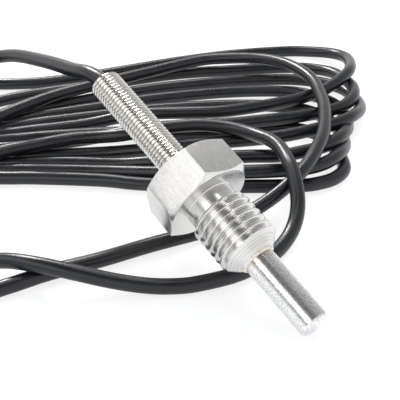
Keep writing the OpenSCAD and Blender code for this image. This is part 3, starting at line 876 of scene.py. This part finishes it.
# %% Steel of the weld
weld_paint = Paint("weld_metal", Metallic=1.0)
scale_marks = weld_paint.noise(from_face(weld_paint), 900, 4.0, 0.6)
weld_metal = weld_paint.wire(
    Base_Color=weld_paint.ramp(scale_marks, (0.28, (0.42, 0.29, 0.15)), (0.42, (0.72, 0.66, 0.55)),
                               (0.52, (0.88, 0.87, 0.85))),
    Roughness=weld_paint.spread(scale_marks, 0.3, 0.7, 0.2, 0.42),
    Normal=weld_paint.bump(scale_marks, 0.00003, 0.6))
print("material", weld_metal.name)

# %% Weld bead with its ripples
ripples = 36


def bead(reach, rise):
    """A ring of the bead, whose reach swells once a ripple."""
    def ring(degrees):
        swell = abs(math.sin(math.radians(degrees * ripples / 2)))
        return tube_r + reach * (0.72 + 0.28 * swell), nose_end + rise * (0.9 + 0.1 * swell)
    return ring


weld = finish_piece("weld_ring", turned("weld_ring", [
    (under_weld, nose_end), (nose_r - 0.04, nose_end), bead(0.42, 0.16), bead(0.34, 0.28),
    bead(0.22, 0.4), bead(0.1, 0.48), (tube_r - 0.02, nose_end + weld_len),
    (under_weld, nose_end + weld_len)], ripples * 8), weld_metal, to_probe, 40)
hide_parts("weld_bead")
print("weld of", ripples, "ripples")

# %% [markdown]
# ## The bend spring
# Close-wound stainless wire. The coil is a spiral curve, shifted sideways by the sag of its own
# centre line, with a round wire swept along it.

# %% Steel of the wire
wire_paint = Paint("spring_wire", Metallic=1.0)
drawn = wire_paint.noise(from_face(wire_paint), 3200, 4.0, 0.65)
spring_steel = wire_paint.wire(
    Base_Color=wire_paint.mix(wire_paint.spread(drawn, 0.3, 0.7), (0.6, 0.58, 0.54, 1),
                              (0.82, 0.8, 0.76, 1)),
    Roughness=wire_paint.spread(drawn, 0.3, 0.7, 0.06, 0.16),
    Normal=wire_paint.bump(drawn, 0.000003, 0.3))
print("material", spring_steel.name)

# %% Coil
coil_run = socket_floor - spring_end - wire_d
coil_turns = coil_run / (wire_d + turn_gap)
coil = Recipe("close_wound_spring", Coil_Radius=spring_r - wire_d / 2, Wire_Radius=wire_d / 2,
              Run=coil_run, Turns=coil_turns, Free_Length=spring_len, Sag=spring_sag)
spiral = coil.node("GeometryNodeCurveSpiral", {}, {
    "Resolution": 32, "Rotations": coil.size("Turns"), "Start Radius": coil.size("Coil_Radius"),
    "End Radius": coil.size("Coil_Radius"), "Height": coil.size("Run")})
coil_at = coil.node("ShaderNodeSeparateXYZ", {}, {0: coil.node("GeometryNodeInputPosition")})
free = (1.0 - coil_at.output(2) / coil.size("Free_Length")).at_least(0.0)
hang = coil.node("ShaderNodeCombineXYZ", {}, {0: coil.size("Sag") * free * free, 1: 0.0, 2: 0.0})
sagging = coil.node("GeometryNodeSetPosition", {}, {"Geometry": spiral, "Offset": hang})
section = coil.node("GeometryNodeCurvePrimitiveCircle", {}, {"Resolution": 10,
                                                            "Radius": coil.size("Wire_Radius")})
wire = coil.node("GeometryNodeCurveToMesh", {}, {"Curve": sagging, "Profile Curve": section,
                                                 "Fill Caps": True})
spring = finish_piece("bend_coil", coil.grow(wire, spring_steel), spring_steel,
                      to_probe @ Matrix.Translation((0, 0, spring_end + wire_d / 2)), 50)
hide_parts("bend_spring")
print("spring of", round(coil_turns, 1), "turns")

# %% [markdown]
# ## What is inside the tube
# The element, its wires and the filling can't be seen, but they are real pieces, so they keep
# their CAD shape and each gets the finish of its own material.

# %% Hidden materials
element_ceramic = speckled(
    "element_ceramic", (1800, 4.0, 0.6), ((0.3, (0.74, 0.72, 0.66)), (0.7, (0.84, 0.83, 0.78))),
    (0.4, 0.55), (0.00001, 0.4), Specular_IOR_Level=0.5)
ceramic_filler = speckled(
    "ceramic_filler", (4200, 5.0, 0.7), ((0.3, (0.6, 0.58, 0.52)), (0.7, (0.76, 0.75, 0.7))),
    (0.8, 0.95), (0.00008, 0.8), Specular_IOR_Level=0.3)
potting_resin = speckled(
    "potting_resin", (1400, 3.0, 0.5), ((0.35, (0.02, 0.02, 0.024)), (0.7, (0.05, 0.05, 0.058))),
    (0.22, 0.4), (0.00003, 0.5), Specular_IOR_Level=0.5)
lead_wire = speckled(
    "lead_wire", (2500, 4.0, 0.6), ((0.3, (0.7, 0.7, 0.69)), (0.7, (0.84, 0.84, 0.83))),
    (0.2, 0.32), (0.00001, 0.5), Metallic=1.0)
print(len(bpy.data.materials), "materials in all")

# %% Each CAD node that stays gets its finish
finishes = {"sensing_element": element_ceramic, "thermal_filler": ceramic_filler,
            "potting_seal": potting_resin, "cable_in_spring": black_jacket,
            "inner_core_1": core_white, "inner_core_2": core_red}
for number in (1, 2):
    finishes[f"element_lead_{number}"] = lead_wire
    finishes[f"splice_{number}"] = crimp_metal
    finishes[f"splice_sleeve_{number}"] = shrink_sleeve
for name, finish in finishes.items():
    for material_slot in frame["nodes"][name].material_slots:
        material_slot.material = finish
print(len(finishes), "CAD nodes dressed")
